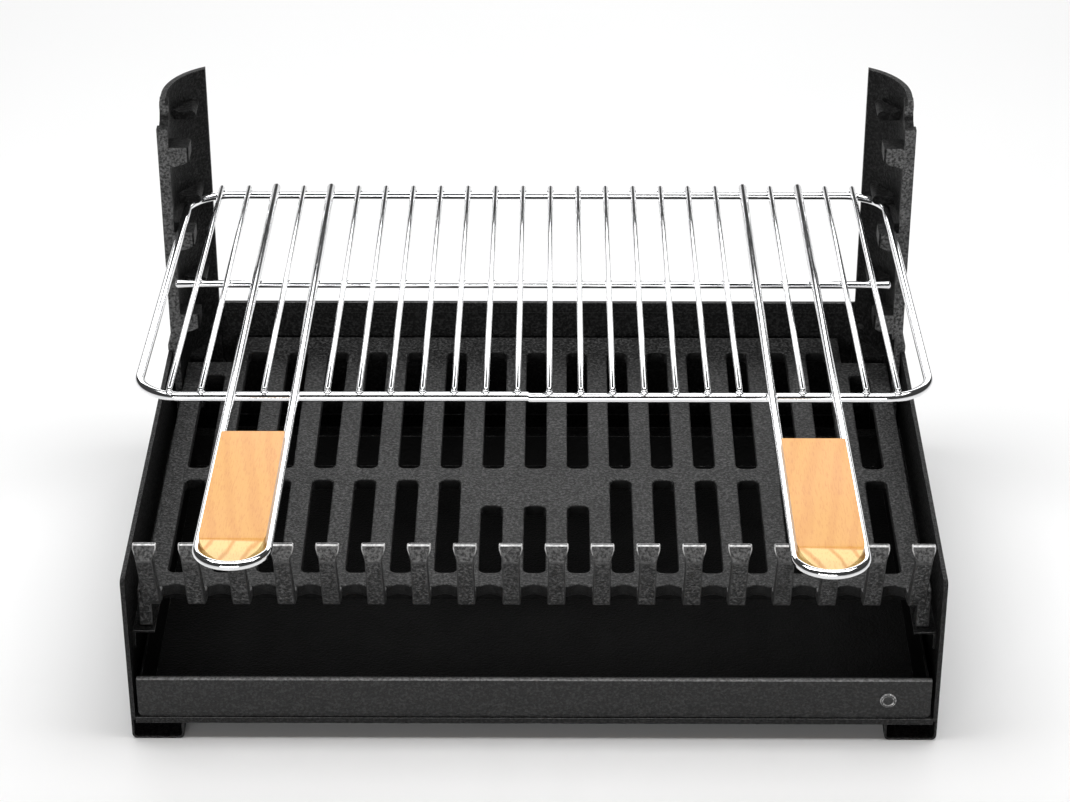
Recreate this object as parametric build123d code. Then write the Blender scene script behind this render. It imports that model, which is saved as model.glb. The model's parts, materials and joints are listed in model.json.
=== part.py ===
from build123d import *
import os
from math import atan2, cos, degrees, radians, sin, sqrt, tan

# Table-top charcoal grill, a hibachi. All sizes in millimetres.
# +X is to the right, +Y runs from the open front to the back, +Z is up.
# The origin is on the ground, in the middle of the whole object's footprint box.

os.makedirs("parts", exist_ok=True)

# --- Casing: folded sheet steel, open at the front and the top ---
CASING_WIDTH = 570.0
CASING_DEPTH = 396.0
CASING_HEIGHT = 134.5
SHEET = 1.5
BEND = 4.0
HEM = 3.0
HEM_WIDTH = 9.0
CORNER = 4.0
FOOT_WIDTH = 37.0
FLOOR_TOP = 18.3
FLOOR_LIP = 4.8
FLANGE = 15.0
RAIL_TOP = 72.0
RAIL_DROP = 14.0
RAIL_WIDTH = 15.5
RAIL_START = 30.0
RAIL_END = 306.0

# --- Ash tray: shallow pan with a tall front lip ---
TRAY_WIDTH = 559.0
TRAY_LIFT = 0.4
TRAY_LENGTH = 336.0
TRAY_WALL_TOP = 45.0
TRAY_TAPER = 5.0
TRAY_PLAY = 1.2
LIP_TOP = 50.0
LIP_CORNER = 4.0
STUD_X = 249.3
STUD_Z = 34.0
STUD_R = 5.7

# --- Cast-iron fire grate: bars, slots and a fence of forward-leaning fingers ---
BAR_COUNT = 18
BAR_PITCH = 31.5
BAR_WIDTH = 15.6
GRATE_TOP = 104.4
GRATE_THICK = 8.6
GRATE_FRONT = 38.0
GRATE_BACK = 390.4
SLOT_ROWS = ((56.2, 177.8), (194.5, 366.6))
SHORT_SLOT_FRONT_ROW = (56.2, 143.0)
SHORT_SLOT_BACK_ROW = (194.5, 331.0)
SHORT_MIDDLE_SLOTS = (7, 8, 9)
SLOT_CORNER = 5.0
NOTCH_X = 240.0
NOTCH_Y = 351.0
EDGE_RIB_DROP = 15.5
EDGE_RIB_Y = (45.0, 50.0)
FINGER_FOOT_Y = 22.0
FINGER_NECK_Y = 3.2
FINGER_NECK_Z = 148.5
FINGER_TIP_Y = 9.6
FINGER_TIP_Z = 158.6
FINGER_THICK = 7.0
FINGER_WIDTH = 11.2
FINGER_HEAD_WIDTH = 16.6
GRATE_LEG_WIDTH = 9.6
GRATE_LEG_X = 274.5
GRATE_LEG_Y = (36.0, 48.0)

# --- Cast-iron corner uprights with lugs at four heights ---
UPRIGHT_TOP = 342.0
UPRIGHT_BOTTOM = 60.0
UPRIGHT_FACE_X = 280.5
UPRIGHT_WALL = 4.0
UPRIGHT_ARC_X = 228.0
UPRIGHT_ARC_Y = 342.5
UPRIGHT_EDGE_X = 252.0
STRIP_OUTER_X = 282.5
STRIP_INNER_X = 274.3
STRIP_INNER_LOW_X = 276.5
STRIP_FRONT_Y = 316.0
STRIP_DEPTH = 7.0
STRIP_TOP = 324.5
RISER_OUTER_X = 281.1
RISER_TOP = 339.0
STEP_Y = 331.0
EAR_OUT = 285.2
EAR_HEIGHT = 11.0
LUG_PITCH = 71.3
LUG_COUNT = 4
LOWEST_LUG_TOP = 95.4
BLOCK_X = 259.5
BLOCK_DEPTH = 20.0
BLOCK_DROP = (11.0, 18.0)
HOOK_RISE = 3.6
HOOK_X = 257.5
HOOK_Y = 357.0
HOOK_NOSE = 3.8
HOOK_HEIGHT = 14.0
BOSS_X = 257.0
BOSS_Z = (78.0, 120.0)
BOSS_R = 7.0
BOLT_R = 2.5
BOLT_HEAD_R = 5.0
BOLT_HEAD = 3.0

# --- Rivets ---
RIVET_R = 2.0
RIVET_HEAD_R = 4.0
RIVET_HEAD = 1.8
HOLE_PLAY = 0.05

# --- Chromed cooking grill, laid out flat and then tipped up towards the front ---
GRILL_TILT = 5.4
GRILL_REAR_Y = 383.5
GRILL_REAR_Z = 235.4
RIM_WIDTH = 536.0
RIM_LENGTH = 363.0
RIM_CORNER = 32.0
RIM_D = 6.5
WIRE_COUNT = 24
WIRE_PITCH = 21.25
WIRE_D = 4.0
WIRE_TAIL = 3.5
CROSSBAR_D = 5.5
CROSSBAR_LENGTH = 519.0
CROSSBAR_FROM_REAR = 174.5
CROSSBAR_SHIFT = -1.8
HANDLE_D = 6.0
HANDLE_WIRES = ((2, 4), (19, 21))
HANDLE_REACH = (610.5, 619.5)
WELD_GAP = 0.03

# --- Wooden grips ---
GRIP_WIDTH = 41.0
GRIP_THICK = 15.0
GRIP_LENGTH = 161.5
GRIP_GAP = 6.0
GRIP_BEVEL = (15.2, 8.0)
GRIP_UNDER_BEVEL = 4.5
GRIP_PLAY = 0.05

HALF = CASING_WIDTH / 2
TILT = radians(GRILL_TILT)
HANDLE_LIFT = RIM_D / 2 + HANDLE_D / 2 + WELD_GAP


def handle_tip_y():
    """Foremost point of the longer handle, measured from the casing's front plane."""
    along = -max(HANDLE_REACH) * cos(TILT) + HANDLE_LIFT * sin(TILT)
    return GRILL_REAR_Y + along - HANDLE_D / 2


# The casing's front plane, placed so that the whole object is centred on the origin.
BACK_REACH = CASING_DEPTH + BOLT_HEAD
FRONT = -(handle_tip_y() + BACK_REACH) / 2


def block(x0, x1, y0, y1, z0, z1):
    """Box from its limits; y is measured from the casing's front plane."""
    size = Box(abs(x1 - x0), abs(y1 - y0), abs(z1 - z0))
    return Pos((x0 + x1) / 2, FRONT + (y0 + y1) / 2, (z0 + z1) / 2) * size


def prism_y(points, y0, y1):
    """Outline in X and Z, extruded from y0 to y1 behind the casing's front plane."""
    face = make_face(Plane.XZ * Polyline(*points, close=True))
    solid = extrude(face, amount=y1 - y0, dir=(0, 1, 0))
    return Pos(0, FRONT + y0, 0) * solid


def prism_x(points, x0, x1):
    """Outline in Y and Z, extruded from x0 to x1."""
    face = make_face(Plane.YZ * Polyline(*points, close=True))
    return Pos(x0, FRONT, 0) * extrude(face, amount=x1 - x0, dir=(1, 0, 0))


def prism_z(points, z0, z1):
    """Outline in X and Y, extruded from z0 to z1."""
    face = make_face(Polyline(*points, close=True))
    return Pos(0, FRONT, z0) * extrude(face, amount=z1 - z0)


def rod_y(x, z, radius, y0, y1):
    """Round rod along Y."""
    return Pos(x, FRONT + (y0 + y1) / 2, z) * Rot(90, 0, 0) * Cylinder(radius, abs(y1 - y0))


def rod_z(x, y, radius, z0, z1):
    """Upright round rod."""
    return Pos(x, FRONT + y, (z0 + z1) / 2) * Cylinder(radius, z1 - z0)


def mirrored(solid):
    return mirror(solid, about=Plane.YZ)


# --------------------------------------------------------------------- casing

BACK_RIVET_X = 276.0
BACK_RIVET_Z = (34.0, 74.0, 114.0)
FLOOR_RIVET_X = 239.5
FLOOR_RIVET_Y = (40.0, 145.0, 250.0, 355.0)
RAIL_RIVET_Y = (60.0, 168.0, 276.0)
RAIL_RIVET_Z = RAIL_TOP - 8.0
PANEL_BACK = CASING_DEPTH - SHEET
FOOT_IN = HALF - FOOT_WIDTH
FLANGE_TOP = FLOOR_TOP - SHEET


def side_rivet(y, z, radius, x0, x1):
    """Rod along X, for the rail rivets and their holes."""
    return Pos((x0 + x1) / 2, FRONT + y, z) * Rot(0, 90, 0) * Cylinder(radius, abs(x1 - x0))


def make_side_panel_left():
    """Side sheet with hemmed edges, a rear flange and a foot channel along the bottom."""
    x = -HALF
    outline = make_face(Plane.YZ * Polyline((0, BEND), (CASING_DEPTH - SHEET, BEND),
                                            (CASING_DEPTH - SHEET, CASING_HEIGHT),
                                            (0, CASING_HEIGHT), close=True))
    corners = outline.vertices().filter_by(lambda v: v.Z > CASING_HEIGHT - 1)
    wall = Pos(x, FRONT, 0) * extrude(fillet(corners, CORNER), amount=SHEET, dir=(1, 0, 0))
    hem_points = [(0, BEND + 12), (HEM_WIDTH, BEND + 12), (HEM_WIDTH, CASING_HEIGHT - HEM_WIDTH),
                  (PANEL_BACK - SHEET, CASING_HEIGHT - HEM_WIDTH), (PANEL_BACK - SHEET, CASING_HEIGHT),
                  (CORNER, CASING_HEIGHT), (0, CASING_HEIGHT - CORNER)]
    hem = prism_x(hem_points, x + SHEET, x + HEM)
    outer = FilletPolyline((x, 30), (x, 0), (-FOOT_IN, 0), (-FOOT_IN, FLANGE_TOP - SHEET), radius=BEND)
    inner = FilletPolyline((x + SHEET, 30), (x + SHEET, SHEET), (-FOOT_IN - SHEET, SHEET),
                           (-FOOT_IN - SHEET, FLANGE_TOP - SHEET), radius=BEND - SHEET)
    channel_face = make_face([outer, inner, Line(outer @ 0, inner @ 0), Line(outer @ 1, inner @ 1)])
    channel = extrude(Plane.XZ * channel_face, amount=PANEL_BACK, dir=(0, 1, 0))
    channel = Pos(0, FRONT, 0) * channel
    lip = block(-FOOT_IN - SHEET, -FOOT_IN + FLANGE, 12, PANEL_BACK - 12, FLANGE_TOP - SHEET, FLANGE_TOP)
    rear = block(x + SHEET, x + FLANGE, PANEL_BACK - SHEET, PANEL_BACK, 20, CASING_HEIGHT - 2)
    panel = wall + hem + channel + lip + rear
    panel -= block(-FOOT_IN - BEND, -FOOT_IN + FLANGE + 1, -1, SHEET + 0.3, FLOOR_TOP - FLOOR_LIP - 0.3,
                   FLANGE_TOP + 1)
    for z in BACK_RIVET_Z:
        panel -= rod_y(-BACK_RIVET_X, z, RIVET_R + HOLE_PLAY, PANEL_BACK - 6, PANEL_BACK + 3)
    for y in FLOOR_RIVET_Y:
        panel -= rod_z(-FLOOR_RIVET_X, y, RIVET_R + HOLE_PLAY, FLANGE_TOP - 6, FLANGE_TOP + 3)
    for y in RAIL_RIVET_Y:
        panel -= side_rivet(y, RAIL_RIVET_Z, RIVET_R + HOLE_PLAY, x - 2, x + 6)
    return panel


def make_back_panel():
    """Back sheet, riveted to the side flanges, with a hem between the uprights."""
    panel = block(-HALF, HALF, PANEL_BACK, CASING_DEPTH, 14.5, CASING_HEIGHT)
    panel += block(-FOOT_IN, FOOT_IN, PANEL_BACK - SHEET, PANEL_BACK, CASING_HEIGHT - HEM_WIDTH,
                   CASING_HEIGHT)
    for side in (-1, 1):
        for z in BACK_RIVET_Z:
            panel -= rod_y(side * BACK_RIVET_X, z, RIVET_R + HOLE_PLAY, PANEL_BACK - 3, CASING_DEPTH + 3)
        for z in BOSS_Z:
            panel -= rod_y(side * BOSS_X, z, BOLT_R + HOLE_PLAY, PANEL_BACK - 3, CASING_DEPTH + 3)
    return panel


def make_floor_panel():
    """Raised floor sheet over both foot channels, with a folded front lip and an upturned rear edge."""
    half = HALF - HEM - 0.4
    floor = block(-half, half, 0, PANEL_BACK - 2 * SHEET - 0.3, FLANGE_TOP, FLOOR_TOP)
    floor += block(-half, half, 0, SHEET, FLOOR_TOP - FLOOR_LIP, FLOOR_TOP)
    floor += block(-FOOT_IN, FOOT_IN, PANEL_BACK - 6, PANEL_BACK, FLANGE_TOP, FLOOR_TOP)
    floor += block(-FOOT_IN, FOOT_IN, PANEL_BACK - SHEET, PANEL_BACK, FLANGE_TOP, FLOOR_TOP + 12)
    for side in (-1, 1):
        for y in FLOOR_RIVET_Y:
            floor -= rod_z(side * FLOOR_RIVET_X, y, RIVET_R + HOLE_PLAY, FLANGE_TOP - 3, FLOOR_TOP + 3)
    return floor


def make_grate_rail_left():
    """Angle on the inside of the side sheet, which the grate's front legs stand on."""
    x = -HALF + SHEET
    rail = block(x, x + SHEET, RAIL_START, RAIL_END, RAIL_TOP - RAIL_DROP, RAIL_TOP)
    rail += block(x, x + RAIL_WIDTH, RAIL_START, RAIL_END, RAIL_TOP - SHEET, RAIL_TOP)
    for y in RAIL_RIVET_Y:
        rail -= side_rivet(y, RAIL_RIVET_Z, RIVET_R + HOLE_PLAY, x - 4, x + 6)
    return rail


def dome(radius, height):
    """Low rivet head, flat underneath, standing on the XY plane."""
    ball_r = (radius ** 2 + height ** 2) / (2 * height)
    ball = Pos(0, 0, height - ball_r) * Sphere(ball_r)
    return ball & Pos(0, 0, height) * Cylinder(radius, 2 * height)


def rivet(grip):
    """Rivet along +Z: the head is above the XY plane and the shank goes down through the sheets."""
    shank = Pos(0, 0, -grip / 2 + 0.2) * Cylinder(RIVET_R, grip + 0.4)
    return dome(RIVET_HEAD_R, RIVET_HEAD) + shank


def make_back_rivets():
    group = []
    for side in (-1, 1):
        for z in BACK_RIVET_Z:
            place = Pos(side * BACK_RIVET_X, FRONT + CASING_DEPTH, z) * Rot(-90, 0, 0)
            group.append(place * rivet(2 * SHEET))
    return Compound(children=group)


def make_floor_rivets():
    group = []
    for side in (-1, 1):
        for y in FLOOR_RIVET_Y:
            place = Pos(side * FLOOR_RIVET_X, FRONT + y, FLANGE_TOP - SHEET) * Rot(180, 0, 0)
            group.append(place * rivet(2 * SHEET))
    return Compound(children=group)


def make_rail_rivets():
    group = []
    for side in (-1, 1):
        for y in RAIL_RIVET_Y:
            place = Pos(side * HALF, FRONT + y, RAIL_RIVET_Z) * Rot(0, side * 90, 0)
            group.append(place * rivet(2 * SHEET))
    return Compound(children=group)


# --------------------------------------------------------------------- uprights

ARC_OUT = UPRIGHT_FACE_X - UPRIGHT_ARC_X
ARC_IN = ARC_OUT - UPRIGHT_WALL


def arc_y(x, radius):
    """Distance back of the corner arc where it crosses x."""
    return UPRIGHT_ARC_Y + sqrt(radius ** 2 - (x - UPRIGHT_ARC_X) ** 2)


def upright_section():
    """Right upright's wall in plan: a flat side that turns the corner in one large arc."""
    middle = degrees(atan2(arc_y(UPRIGHT_EDGE_X, ARC_OUT) - UPRIGHT_ARC_Y,
                           UPRIGHT_EDGE_X - UPRIGHT_ARC_X)) / 2
    out_mid = (UPRIGHT_ARC_X + ARC_OUT * cos(radians(middle)), UPRIGHT_ARC_Y + ARC_OUT * sin(radians(middle)))
    in_mid = (UPRIGHT_ARC_X + ARC_IN * cos(radians(middle)), UPRIGHT_ARC_Y + ARC_IN * sin(radians(middle)))
    face_in = UPRIGHT_FACE_X - UPRIGHT_WALL
    out_end = (UPRIGHT_EDGE_X, arc_y(UPRIGHT_EDGE_X, ARC_OUT))
    in_end = (UPRIGHT_EDGE_X, arc_y(UPRIGHT_EDGE_X, ARC_IN))
    return make_face([Line((UPRIGHT_FACE_X, STRIP_FRONT_Y), (UPRIGHT_FACE_X, UPRIGHT_ARC_Y)),
                      ThreePointArc((UPRIGHT_FACE_X, UPRIGHT_ARC_Y), out_mid, out_end),
                      Line(out_end, in_end),
                      ThreePointArc(in_end, in_mid, (face_in, UPRIGHT_ARC_Y)),
                      Line((face_in, UPRIGHT_ARC_Y), (face_in, STRIP_FRONT_Y)),
                      Line((face_in, STRIP_FRONT_Y), (UPRIGHT_FACE_X, STRIP_FRONT_Y))])


def make_lug_block(top):
    """Lug on the side wall, its top sloped like the grill, whose side wires rest on it."""
    wall_x = UPRIGHT_FACE_X - 1
    points = [(BLOCK_X, top), (wall_x, top), (wall_x, top - BLOCK_DROP[1]),
              (BLOCK_X + 5, top - BLOCK_DROP[0] - 3), (BLOCK_X, top - BLOCK_DROP[0])]
    lug = prism_y(points, STRIP_FRONT_Y, STRIP_FRONT_Y + BLOCK_DEPTH)
    inner_edges = lug.edges().filter_by(Axis.Z).sort_by(Axis.X)[0:2]
    lug = fillet(inner_edges, 2.0)
    fall = (BLOCK_DEPTH + 1) * tan(TILT)
    slope = [(STRIP_FRONT_Y, top), (STRIP_FRONT_Y + BLOCK_DEPTH + 1, top - fall),
             (STRIP_FRONT_Y + BLOCK_DEPTH + 1, top + 1), (STRIP_FRONT_Y, top + 1)]
    return lug - prism_x(slope, BLOCK_X - 1, wall_x + 1)


def make_lug_hook(block_top):
    """Round-nosed claw on the corner arc; its flat underside holds the grill's rear wire down."""
    low = block_top + HOOK_RISE
    centre_x = HOOK_X + HOOK_NOSE
    foot = (centre_x, 0, low)
    tip = (HOOK_X, 0, low + HOOK_NOSE)
    crest = (centre_x + HOOK_NOSE * cos(radians(60)), 0, low + HOOK_NOSE * (1 + sin(radians(60))))
    waist = (centre_x + 2.2 * HOOK_NOSE, 0, low + 1.8 * HOOK_NOSE)
    root_top = (UPRIGHT_FACE_X, 0, low + HOOK_HEIGHT)
    root = (UPRIGHT_FACE_X, 0, low)
    outline = make_face([Line(root, foot), ThreePointArc(foot, tip, crest), Spline(crest, waist, root_top),
                         Line(root_top, root)])
    depth = UPRIGHT_ARC_Y + ARC_OUT - HOOK_Y
    claw = Pos(0, FRONT + HOOK_Y, 0) * extrude(outline, amount=depth, dir=(0, 1, 0))
    keep = Pos(UPRIGHT_ARC_X, FRONT + UPRIGHT_ARC_Y, low + 10) * Cylinder(ARC_OUT - 1, 60)
    return claw & keep


def make_upright_right():
    """Right cast upright: curved wall, thick front strip, hooks, blocks, ear and bolt bosses."""
    height = UPRIGHT_TOP - UPRIGHT_BOTTOM
    wall = Pos(0, FRONT, UPRIGHT_BOTTOM) * extrude(upright_section(), amount=height)
    wall -= block(200, 300, STRIP_FRONT_Y - 5, STEP_Y, STRIP_TOP, UPRIGHT_TOP + 5)
    ear_low = CASING_HEIGHT + 0.3
    ear_top = ear_low + EAR_HEIGHT
    strip = block(STRIP_INNER_X, STRIP_OUTER_X, STRIP_FRONT_Y, STRIP_FRONT_Y + STRIP_DEPTH,
                  ear_top, STRIP_TOP)
    lower = block(STRIP_INNER_LOW_X, UPRIGHT_FACE_X + 1.0, STRIP_FRONT_Y, STRIP_FRONT_Y + STRIP_DEPTH,
                  UPRIGHT_BOTTOM, ear_low)
    riser = prism_x([(STRIP_FRONT_Y + 1, STRIP_TOP - 4), (STEP_Y + STRIP_DEPTH, STRIP_TOP - 4),
                     (STEP_Y + STRIP_DEPTH, RISER_TOP + 2), (STEP_Y + 2, RISER_TOP),
                     (STEP_Y, RISER_TOP - 2), (STEP_Y, STRIP_TOP + 7), (STEP_Y - 3, STRIP_TOP + 2),
                     (STEP_Y - 8, STRIP_TOP), (STRIP_FRONT_Y + 1, STRIP_TOP)],
                    STRIP_INNER_X, RISER_OUTER_X)
    ear_points = [(STRIP_INNER_LOW_X, ear_low), (EAR_OUT, ear_low), (EAR_OUT, ear_low + 5),
                  (STRIP_OUTER_X, ear_top), (STRIP_INNER_LOW_X, ear_top)]
    ear = prism_y(ear_points, STRIP_FRONT_Y, STRIP_FRONT_Y + 30)
    upright = wall + strip + lower + riser + ear
    for level in range(LUG_COUNT):
        top = LOWEST_LUG_TOP + level * LUG_PITCH
        upright += make_lug_block(top)
        upright += make_lug_hook(top)
    for z in BOSS_Z:
        upright += rod_y(BOSS_X, z, BOSS_R, arc_y(BOSS_X, ARC_OUT) - 3, PANEL_BACK - SHEET - 0.2)
    for z in BOSS_Z:
        upright -= rod_y(BOSS_X, z, BOLT_R + HOLE_PLAY, UPRIGHT_ARC_Y + 20, PANEL_BACK + 5)
    return upright


def make_upright_bolts():
    """Four dome-headed bolts from behind, through the back sheet into the uprights' bosses."""
    group = []
    for side in (-1, 1):
        for z in BOSS_Z:
            shank = Pos(0, 0, -7) * Cylinder(BOLT_R, 14.4)
            head = dome(BOLT_HEAD_R, BOLT_HEAD)
            place = Pos(side * BOSS_X, FRONT + CASING_DEPTH, z) * Rot(-90, 0, 0)
            group.append(place * (head + shank))
    return Compound(children=group)


# --------------------------------------------------------------------- ash tray

TRAY_BOTTOM = FLOOR_TOP + TRAY_LIFT


def tapered_shell_face(half_width, half_length, z):
    middle = FRONT + TRAY_LENGTH / 2 + TRAY_PLAY
    return Pos(0, middle, z) * RectangleRounded(2 * half_width, 2 * half_length, 6)


def make_ash_tray():
    """Pan with sloping walls behind a tall flat lip."""
    half = TRAY_WIDTH / 2 - 1.0
    run = TRAY_LENGTH / 2
    rise = TRAY_WALL_TOP - TRAY_BOTTOM
    outer = loft([tapered_shell_face(half - TRAY_TAPER, run - TRAY_TAPER, TRAY_BOTTOM),
                  tapered_shell_face(half, run, TRAY_WALL_TOP)])
    slope = TRAY_TAPER / rise
    low_in = half - TRAY_TAPER - SHEET + slope * SHEET
    run_in = run - TRAY_TAPER - SHEET + slope * SHEET
    over = 5.0
    inner = loft([tapered_shell_face(low_in, run_in, TRAY_BOTTOM + SHEET),
                  tapered_shell_face(half - SHEET + slope * over, run - SHEET + slope * over,
                                     TRAY_WALL_TOP + over)])
    pan = outer - inner
    lip = block(-TRAY_WIDTH / 2, TRAY_WIDTH / 2, TRAY_PLAY, TRAY_PLAY + SHEET, TRAY_BOTTOM, LIP_TOP)
    low_corners = lip.edges().filter_by(Axis.Y).group_by(Axis.Z)[0]
    lip = fillet(low_corners, LIP_CORNER)
    fold = block(-TRAY_WIDTH / 2, TRAY_WIDTH / 2, TRAY_PLAY, TRAY_PLAY + 5, LIP_TOP - SHEET, LIP_TOP)
    fold = fillet(fold.edges().filter_by(Axis.X).sort_by(lambda e: e.center().Y - e.center().Z)[0:1], 1.2)
    bridge = block(-TRAY_WIDTH / 2 + 9, TRAY_WIDTH / 2 - 9, TRAY_PLAY + 1, TRAY_PLAY + 9, TRAY_BOTTOM,
                   TRAY_BOTTOM + SHEET)
    tray = pan + lip + fold + bridge
    tray -= rod_y(STUD_X, STUD_Z, RIVET_R + HOLE_PLAY, -5, TRAY_PLAY + SHEET + 5)
    return tray


def make_lip_stud():
    """Round-headed rivet in the right end of the tray's lip."""
    ring = dome(STUD_R, 1.1) - Pos(0, 0, 1.25) * Torus(STUD_R - 1.7, 0.45)
    shank = Pos(0, 0, -1.6) * Cylinder(RIVET_R, 3.4)
    return Pos(STUD_X, FRONT + TRAY_PLAY, STUD_Z) * Rot(90, 0, 0) * (ring + shank)


# --------------------------------------------------------------------- fire grate

def bar_x(index):
    return (index - (BAR_COUNT - 1) / 2) * BAR_PITCH


def make_slot(index, span):
    """Rounded slot through the plate between two bars."""
    width = BAR_PITCH - BAR_WIDTH
    x = (bar_x(index) + bar_x(index + 1)) / 2
    face = RectangleRounded(width, span[1] - span[0], SLOT_CORNER)
    cut = extrude(face, amount=GRATE_THICK + 12)
    return Pos(x, FRONT + (span[0] + span[1]) / 2, GRATE_TOP - GRATE_THICK - 6) * cut


def make_finger(index):
    """Finger that runs forward from a bar and leans up and out to a flared, bevelled head."""
    x = bar_x(index)
    low = GRATE_TOP - 2.5
    lean = (FINGER_FOOT_Y - FINGER_NECK_Y) / (FINGER_NECK_Z - low)
    back = FINGER_THICK
    stem = prism_x([(FINGER_FOOT_Y, low - 1), (FINGER_NECK_Y, FINGER_NECK_Z),
                    (FINGER_NECK_Y + back, FINGER_NECK_Z), (FINGER_FOOT_Y + back + 4, GRATE_TOP),
                    (GRATE_FRONT + 3, GRATE_TOP), (GRATE_FRONT + 3, GRATE_TOP - GRATE_THICK),
                    (FINGER_FOOT_Y + 8, GRATE_TOP - GRATE_THICK + 1)],
                   x - FINGER_WIDTH / 2, x + FINGER_WIDTH / 2)
    flare = (FINGER_HEAD_WIDTH - FINGER_WIDTH) / 2
    head = prism_x([(FINGER_NECK_Y, FINGER_NECK_Z), (FINGER_TIP_Y - 1.2, FINGER_TIP_Z - 2.6),
                    (FINGER_TIP_Y, FINGER_TIP_Z), (FINGER_TIP_Y + 3.2, FINGER_TIP_Z),
                    (FINGER_NECK_Y + back + 3 * lean, FINGER_NECK_Z)],
                   x - FINGER_HEAD_WIDTH / 2, x + FINGER_HEAD_WIDTH / 2)
    tip = FINGER_TIP_Z - 2.6
    for side in (-1, 1):
        wedge = prism_y([(x + side * FINGER_WIDTH / 2, FINGER_NECK_Z - 0.01),
                         (x + side * (FINGER_WIDTH / 2 + flare), tip),
                         (x + side * (FINGER_WIDTH / 2 + flare + 3), tip),
                         (x + side * (FINGER_WIDTH / 2 + flare + 3), FINGER_NECK_Z - 3),
                         (x + side * FINGER_WIDTH / 2, FINGER_NECK_Z - 3)], -8, 30)
        head -= wedge
    return stem + head


def make_fire_grate():
    """One casting: slotted plate, edge ribs, fence of fingers and two front legs."""
    width = BAR_COUNT * BAR_PITCH - (BAR_PITCH - BAR_WIDTH)
    half = width / 2
    low = GRATE_TOP - GRATE_THICK
    outline = [(-half, GRATE_FRONT), (half, GRATE_FRONT), (half, NOTCH_Y), (NOTCH_X, NOTCH_Y),
               (NOTCH_X, GRATE_BACK), (-NOTCH_X, GRATE_BACK), (-NOTCH_X, NOTCH_Y), (-half, NOTCH_Y)]
    grate = prism_z(outline, low, GRATE_TOP)
    grate += block(-half, half, *EDGE_RIB_Y, GRATE_TOP - EDGE_RIB_DROP, low)
    cuts = []
    for index in range(BAR_COUNT - 1):
        outermost = index in (0, BAR_COUNT - 2)
        front_row = SHORT_SLOT_FRONT_ROW if index in SHORT_MIDDLE_SLOTS else SLOT_ROWS[0]
        back_row = SHORT_SLOT_BACK_ROW if outermost else SLOT_ROWS[1]
        cuts.append(make_slot(index, front_row))
        cuts.append(make_slot(index, back_row))
    grate -= cuts
    fingers = [make_finger(index) for index in range(BAR_COUNT)]
    legs = []
    for side in (-1, 1):
        x = side * GRATE_LEG_X
        legs.append(block(x - GRATE_LEG_WIDTH / 2, x + GRATE_LEG_WIDTH / 2, *GRATE_LEG_Y,
                          RAIL_TOP + 0.3, GRATE_TOP - 1))
    return grate + fingers + legs


# --------------------------------------------------------------------- cooking grill

def tipped(solid):
    """Moves a piece from the grill's flat layout, rear bar on the X axis, to its place."""
    place = Pos(0, FRONT + GRILL_REAR_Y, GRILL_REAR_Z) * Rot(-GRILL_TILT, 0, 0)
    return place * solid


def wire_x(index):
    return (index - (WIRE_COUNT - 1) / 2) * WIRE_PITCH


def make_grill_rim():
    """Closed ring of thick wire with rounded corners."""
    path = Pos(0, -RIM_LENGTH / 2, 0) * RectangleRounded(RIM_WIDTH, RIM_LENGTH, RIM_CORNER)
    wire = path.faces()[0].outer_wire()
    start = wire.position_at(0)
    section = Plane(origin=start, z_dir=wire.tangent_at(0)) * Circle(RIM_D / 2)
    return tipped(sweep(section, path=wire))


def rounded_rod(radius, length):
    """Rod along +Z from the origin, with rounded ends."""
    rod = Pos(0, 0, length / 2) * Cylinder(radius, length)
    return fillet(rod.edges().filter_by(GeomType.CIRCLE), radius * 0.7)


def make_grill_wire(index):
    """Straight thin wire lying on the rim from the rear bar to the front bar."""
    z = RIM_D / 2 + WIRE_D / 2 + WELD_GAP
    length = RIM_LENGTH + WIRE_TAIL + 1.5
    rod = Pos(wire_x(index), WIRE_TAIL, z) * Rot(90, 0, 0) * rounded_rod(WIRE_D / 2, length)
    return tipped(rod)


def make_crossbar():
    """Wire across the grill, under the long wires and clear of the rim's sides."""
    z = RIM_D / 2 - CROSSBAR_D / 2 - WELD_GAP
    rod = rounded_rod(CROSSBAR_D / 2, CROSSBAR_LENGTH)
    start = CROSSBAR_SHIFT - CROSSBAR_LENGTH / 2
    return tipped(Pos(start, -CROSSBAR_FROM_REAR, z) * Rot(0, 90, 0) * rod)


def handle_path(pair, rear, tip):
    """U-shaped centre line of a handle: two long legs joined by a half circle in front."""
    left = wire_x(pair[0])
    right = wire_x(pair[1])
    radius = (right - left) / 2
    bend = tip + radius
    mid = (left + right) / 2
    return Wire([Line((left, rear), (left, bend)), ThreePointArc((left, bend), (mid, tip), (right, bend)),
                 Line((right, bend), (right, rear))])


def make_handle_loop(pair, reach):
    """Thick wire that serves as two of the grill's long wires and as the handle's loop."""
    path = Pos(0, 0, HANDLE_LIFT) * handle_path(pair, WIRE_TAIL, -reach)
    section = Plane(origin=path.position_at(0), z_dir=path.tangent_at(0)) * Circle(HANDLE_D / 2)
    loop = sweep(section, path=path)
    ends = loop.edges().filter_by(GeomType.CIRCLE).sort_by(Axis.Y)[-2:]
    return tipped(fillet(ends, HANDLE_D / 2 * 0.6))


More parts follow.
